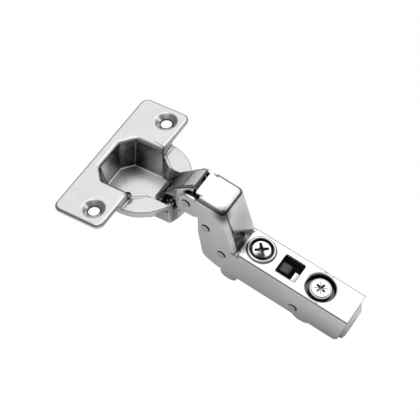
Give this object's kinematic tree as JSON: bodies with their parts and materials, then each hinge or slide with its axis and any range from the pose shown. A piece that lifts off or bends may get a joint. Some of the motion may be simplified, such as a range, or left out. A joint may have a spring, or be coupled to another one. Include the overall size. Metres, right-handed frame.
{
  "type": "cranked cabinet hinge",
  "caption": "Cranked concealed cabinet hinge with a round cup, flange wings, folding links, crank arm and clip-on base with adjusting screws.",
  "frame": {"origin": "midway between the two cup screw holes, on the plane of the door face under the flange", "axes": "+Z out of the door through the flange, +X from the cup towards the arm, Y along the hinge axis"},
  "size_m": [0.1089, 0.0612, 0.0518],
  "materials": {
    "nickel_bright": "bright nickel plate on rolled sheet",
    "nickel_satin": "satin nickel plate on pressed sheet",
    "pin_steel": "plain drawn pin steel",
    "screw_nickel": "nickel plated screw",
    "spring_dark": "dark oiled spring steel"
  },
  "bodies": {
    "cup": {"hinge_cup": "nickel_satin", "cup_pin_outer": "pin_steel", "cup_pin_inner": "pin_steel"},
    "outer_link": {"outer_link": "nickel_bright"},
    "inner_link": {"inner_link": "nickel_satin"},
    "arm": {"arm_casing": "nickel_bright", "pivot_pin_outer": "pin_steel", "pivot_pin_inner": "pin_steel", "cross_pin": "pin_steel", "lever_pin": "pin_steel", "closing_spring": "spring_dark", "lever_spring": "spring_dark"},
    "carrier": {"carrier": "nickel_satin"},
    "clip_base": {"clip_base": "nickel_satin", "detent_spring": "spring_dark"},
    "side_screw": {"side_screw": "screw_nickel"},
    "depth_cam": {"depth_cam": "screw_nickel"},
    "release_lever": {"release_lever": "nickel_satin"}
  },
  "joints": [
    {"name": "fold", "type": "hinge", "parent": "cup", "child": "outer_link", "pos_m": [0.0156, 0, -0.0054], "axis": [0, -1, 0], "range_deg": [0, 136.99]},
    {"name": "arm_pivot", "type": "hinge", "parent": "outer_link", "child": "arm", "pos_m": [0.02896, 0, 0.00402], "axis": [0, -1, 0], "range_deg": [-32.62, 0]},
    {"name": "inner_pivot", "type": "hinge", "parent": "cup", "child": "inner_link", "pos_m": [0.0199, 0, -0.0041], "axis": [0, -1, 0], "range_deg": [0, 146.43]},
    {"name": "side_screw_turn", "type": "hinge", "parent": "arm", "child": "side_screw", "pos_m": [0.05552, 0, -0.0152], "axis": [0.2489, 0, 0.9685], "range_deg": [-240.2, 240.2]},
    {"name": "carrier_tilt", "type": "hinge", "parent": "arm", "child": "carrier", "pos_m": [0.07187, 0, -0.03112], "axis": [0, -1, 0], "range_deg": [-1.5, 1.5]},
    {"name": "depth_cam_turn", "type": "hinge", "parent": "carrier", "child": "depth_cam", "pos_m": [0.08031, 0, -0.02157], "axis": [0.2489, 0, 0.9685], "range_deg": [-90.2, 90.2]},
    {"name": "clip_base_slide", "type": "slide", "parent": "carrier", "child": "clip_base", "axis": [0.9685, 0, -0.2489], "range_m": [-0.0015, 0.0015]},
    {"name": "lever_press", "type": "hinge", "parent": "arm", "child": "release_lever", "pos_m": [0.07187, 0, -0.03112], "axis": [0, -1, 0], "range_deg": [0, 4], "stiffness_Nm_per_rad": 0.3}
  ],
  "couplings": [
    {"joint": "arm_pivot", "follows": "fold", "ratio": -0.2378},
    {"joint": "inner_pivot", "follows": "fold", "ratio": 1.0682},
    {"joint": "side_screw_turn", "follows": "carrier_tilt", "ratio": 160},
    {"joint": "depth_cam_turn", "follows": "clip_base_slide", "rad_per_m": -1047.2}
  ]
}
